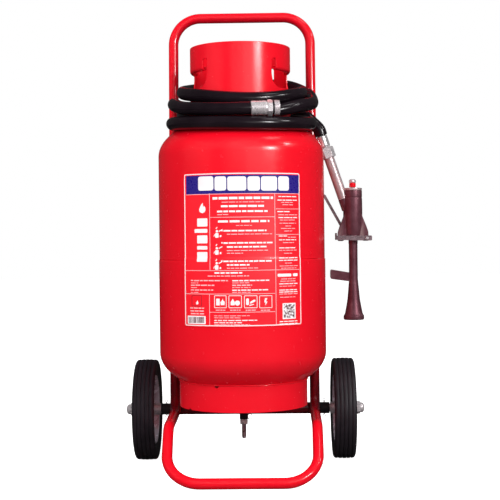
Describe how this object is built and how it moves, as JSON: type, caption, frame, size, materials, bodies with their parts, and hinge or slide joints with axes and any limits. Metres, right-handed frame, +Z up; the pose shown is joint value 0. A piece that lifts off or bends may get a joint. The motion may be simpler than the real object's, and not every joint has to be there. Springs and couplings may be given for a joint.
{
  "type": "wheeled fire extinguisher",
  "caption": "Upright red pressure cylinder on a bent-tube trolley with two wheels, a black hose coiled round its collar and a trigger discharge gun.",
  "frame": {"origin": "middle of the foot bar's underside, on the floor", "axes": "+Z up, -Y is the front with the label, +X is the side the discharge gun hangs on"},
  "size_m": [0.4967, 0.4117, 0.9134],
  "materials": {
    "red_paint": "glossy powder coat",
    "black_paint": "satin black",
    "hose_rubber": "smooth glossy black",
    "tyre_rubber": "matte ribbed rubber",
    "zinc_plate": "bright zinc plated",
    "bare_steel": "satin",
    "brass": "machined",
    "gun_coat": "bronze-brown anodised, satin",
    "label_film": "printed film, semi-gloss",
    "dial_card": "printed white",
    "lens": "clear"
  },
  "bodies": {
    "trolley": {"axle_beam": "red_paint", "axle_shaft": "bare_steel", "axle_sleeve_left": "black_paint", "axle_sleeve_right": "black_paint", "axle_washer_left": "zinc_plate", "axle_washer_right": "zinc_plate", "base_strap": "red_paint", "bottom_boss": "red_paint", "cap_nut_left": "zinc_plate", "cap_nut_right": "zinc_plate", "carry_handle": "red_paint", "collar": "red_paint", "dip_tube": "zinc_plate", "foot_ring": "red_paint", "frame_tube": "red_paint", "gauge_case": "brass", "gauge_dial": "dial_card", "gauge_lens": "lens", "gun_nipple": "zinc_plate", "hold_down_bush": "black_paint", "hold_down_nut": "zinc_plate", "hold_down_stud": "bare_steel", "hose": "hose_rubber", "inlet_ferrule": "zinc_plate", "inlet_nipple": "zinc_plate", "inlet_oring": "hose_rubber", "label": "label_film", "neck_boss": "red_paint", "saddle_lower": "red_paint", "saddle_upper": "red_paint", "shell_lower": "red_paint", "shell_upper": "red_paint", "split_pin_left": "bare_steel", "split_pin_right": "bare_steel", "valve_body": "brass", "valve_lever_pin": "bare_steel", "valve_seal": "hose_rubber", "valve_spring": "bare_steel"},
    "wheel_left": {"tyre_left": "tyre_rubber", "rim_left": "zinc_plate", "hub_bush_left": "bare_steel"},
    "wheel_right": {"tyre_right": "tyre_rubber", "rim_right": "zinc_plate", "hub_bush_right": "bare_steel"},
    "lever": {"valve_lever": "red_paint"},
    "stem": {"valve_stem": "brass"},
    "pull_pin": {"safety_pin": "zinc_plate", "safety_pin_ring": "zinc_plate"},
    "needle": {"gauge_needle": "red_paint"},
    "hose_nut": {"inlet_nut": "zinc_plate"},
    "gun": {"gun_swivel_nut": "zinc_plate", "gun_tube": "bare_steel", "gun_body": "gun_coat", "gun_cap": "bare_steel", "lever_fulcrum_pin": "zinc_plate", "nozzle": "gun_coat", "gun_spring": "bare_steel"},
    "squeeze_lever": {"gun_lever": "zinc_plate"},
    "spindle": {"gun_spindle": "zinc_plate", "gun_knob": "red_paint"}
  },
  "joints": [
    {"name": "wheel_left_spin", "type": "hinge", "parent": "trolley", "child": "wheel_left", "pos_m": [-0.199, 0.301, 0.1015], "axis": [1, 0, 0], "continuous": true},
    {"name": "wheel_right_spin", "type": "hinge", "parent": "trolley", "child": "wheel_right", "pos_m": [0.199, 0.301, 0.1015], "axis": [1, 0, 0], "continuous": true},
    {"name": "valve_lever_squeeze", "type": "hinge", "parent": "trolley", "child": "lever", "pos_m": [0, 0.1865, 0.778], "axis": [1, 0, 0], "range_deg": [0, 9]},
    {"name": "valve_stem_press", "type": "slide", "parent": "trolley", "child": "stem", "axis": [0, 0, -1], "range_m": [0, 0.0019], "deforming": ["valve_spring"]},
    {"name": "safety_pin_pull", "type": "slide", "parent": "trolley", "child": "pull_pin", "axis": [1, 0, 0], "range_m": [0, 0.04]},
    {"name": "gauge_needle_turn", "type": "hinge", "parent": "trolley", "child": "needle", "pos_m": [-0.043, 0.175, 0.736], "axis": [0, 0, 1], "range_deg": [-120, 120]},
    {"name": "hose_nut_spin", "type": "hinge", "parent": "trolley", "child": "hose_nut", "pos_m": [0.05641, 0.04233, 0.6839], "axis": [0.9927, 0.1177, 0.0257], "continuous": true},
    {"name": "gun_swivel", "type": "hinge", "parent": "trolley", "child": "gun", "pos_m": [0.1729, 0.242, 0.6048], "axis": [0.319, 0, -0.9478], "range_deg": [-45, 45]},
    {"name": "gun_lever_squeeze", "type": "hinge", "parent": "gun", "child": "squeeze_lever", "pos_m": [0.2449, 0.242, 0.4455], "axis": [0, 1, 0], "range_deg": [0, 7]},
    {"name": "gun_spindle_lift", "type": "slide", "parent": "gun", "child": "spindle", "axis": [0, 0, 1], "range_m": [0, 0.0033], "deforming": ["gun_spring"]}
  ],
  "couplings": [
    {"joint": "valve_stem_press", "follows": "valve_lever_squeeze", "m_per_rad": 0.0115},
    {"joint": "gun_spindle_lift", "follows": "gun_lever_squeeze", "m_per_rad": 0.0262}
  ]
}
